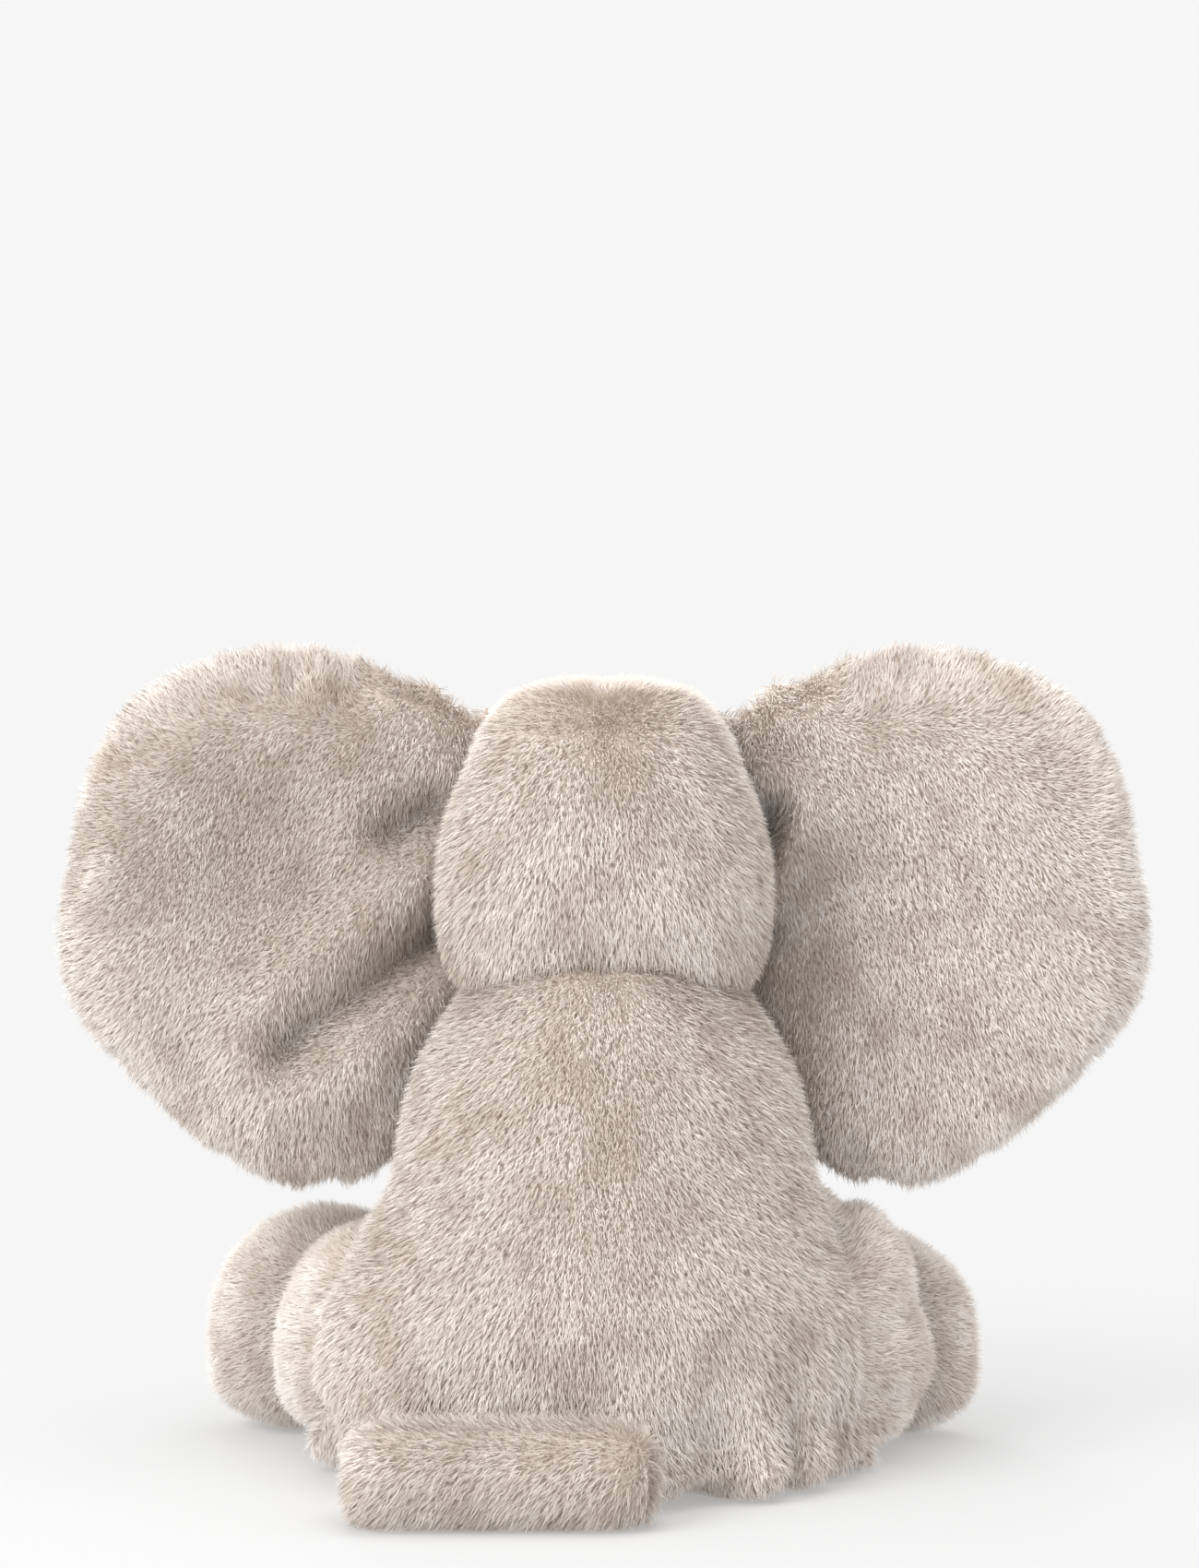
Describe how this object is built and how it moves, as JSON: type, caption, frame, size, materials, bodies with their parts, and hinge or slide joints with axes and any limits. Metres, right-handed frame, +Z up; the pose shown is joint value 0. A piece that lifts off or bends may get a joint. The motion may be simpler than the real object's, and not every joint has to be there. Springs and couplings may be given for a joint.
{
  "type": "stuffed elephant",
  "caption": "Sitting plush elephant with large flat ears, a hanging trunk, stubby stuffed legs and a short fat tail; sewn panels over stuffing with soft joints.",
  "frame": {"origin": "on the flat underside of the base panel, straight under the neck", "axes": "+Z up; the elephant faces -Y; +X is its own left side"},
  "size_m": [0.3748, 0.2638, 0.2823],
  "materials": {
    "back_plush": "long soft pile",
    "front_plush": "long soft pile",
    "ear_plush": "long soft pile",
    "sole_plush": "short dense pile",
    "base_cloth": "short dense pile",
    "fibre": "loose polyester fibre",
    "pouch_cloth": "tight woven cotton",
    "eye_plastic": "polished",
    "washer_plastic": "moulded"
  },
  "bodies": {
    "torso": {"back_left_panel": "back_plush", "back_right_panel": "back_plush", "belly_panel": "front_plush", "base_panel": "base_cloth", "body_fill": "fibre", "pellet_pouch": "pouch_cloth"},
    "neck": {"neck_plug": "fibre"},
    "head": {"head_back_left": "back_plush", "head_back_right": "back_plush", "face_panel": "front_plush", "head_fill": "fibre", "eye_left": "eye_plastic", "eye_right": "eye_plastic", "eye_washer_left": "washer_plastic", "eye_washer_right": "washer_plastic"},
    "trunk": {"trunk_upper": "front_plush", "trunk_under": "front_plush", "trunk_fill": "fibre"},
    "tail": {"tail_skin": "back_plush", "tail_fill": "fibre"},
    "ear_left": {"ear_left_back": "ear_plush", "ear_left_front": "ear_plush", "ear_left_batting": "fibre"},
    "front_leg_left": {"front_leg_left_skin": "back_plush", "front_leg_left_sole": "sole_plush", "front_leg_left_fill": "fibre"},
    "hind_leg_left": {"hind_leg_left_skin": "back_plush", "hind_leg_left_sole": "sole_plush", "hind_leg_left_fill": "fibre"},
    "ear_right": {"ear_right_back": "ear_plush", "ear_right_front": "ear_plush", "ear_right_batting": "fibre"},
    "front_leg_right": {"front_leg_right_skin": "back_plush", "front_leg_right_sole": "sole_plush", "front_leg_right_fill": "fibre"},
    "hind_leg_right": {"hind_leg_right_skin": "back_plush", "hind_leg_right_sole": "sole_plush", "hind_leg_right_fill": "fibre"}
  },
  "joints": [
    {"name": "neck_turn", "type": "hinge", "parent": "torso", "child": "neck", "pos_m": [0, 0, 0.166], "axis": [0, 0, 1], "range_deg": [-20, 20], "stiffness_Nm_per_rad": 0.6},
    {"name": "neck_nod", "type": "hinge", "parent": "neck", "child": "head", "pos_m": [0, 0, 0.166], "axis": [1, 0, 0], "range_deg": [-8, 12], "stiffness_Nm_per_rad": 3},
    {"name": "ear_left_flap", "type": "hinge", "parent": "head", "child": "ear_left", "pos_m": [0.0552, -0.024, 0.1885], "axis": [0, 0, 1], "range_deg": [-20, 20], "stiffness_Nm_per_rad": 0.4},
    {"name": "ear_right_flap", "type": "hinge", "parent": "head", "child": "ear_right", "pos_m": [-0.0552, -0.024, 0.1885], "axis": [0, 0, -1], "range_deg": [-20, 20], "stiffness_Nm_per_rad": 0.4},
    {"name": "trunk_swing", "type": "hinge", "parent": "head", "child": "trunk", "pos_m": [0, -0.062, 0.198], "axis": [-1, 0, 0], "range_deg": [-12, 40], "stiffness_Nm_per_rad": 0.6},
    {"name": "front_leg_left_swing", "type": "hinge", "parent": "torso", "child": "front_leg_left", "pos_m": [0.035, -0.049, 0.106], "axis": [-1, 0, 0], "range_deg": [0, 25], "stiffness_Nm_per_rad": 0.4},
    {"name": "front_leg_right_swing", "type": "hinge", "parent": "torso", "child": "front_leg_right", "pos_m": [-0.035, -0.049, 0.106], "axis": [-1, 0, 0], "range_deg": [0, 25], "stiffness_Nm_per_rad": 0.4},
    {"name": "hind_leg_left_splay", "type": "hinge", "parent": "torso", "child": "hind_leg_left", "pos_m": [0.066, -0.005, 0.04], "axis": [0, 0, 1], "range_deg": [-4, 20], "stiffness_Nm_per_rad": 0.6},
    {"name": "hind_leg_right_splay", "type": "hinge", "parent": "torso", "child": "hind_leg_right", "pos_m": [-0.066, -0.005, 0.04], "axis": [0, 0, -1], "range_deg": [-4, 20], "stiffness_Nm_per_rad": 0.6},
    {"name": "tail_wag", "type": "hinge", "parent": "torso", "child": "tail", "pos_m": [-0.003, 0.0996, 0.016], "axis": [0, 0, 1], "range_deg": [0, 100], "stiffness_Nm_per_rad": 0.1}
  ]
}
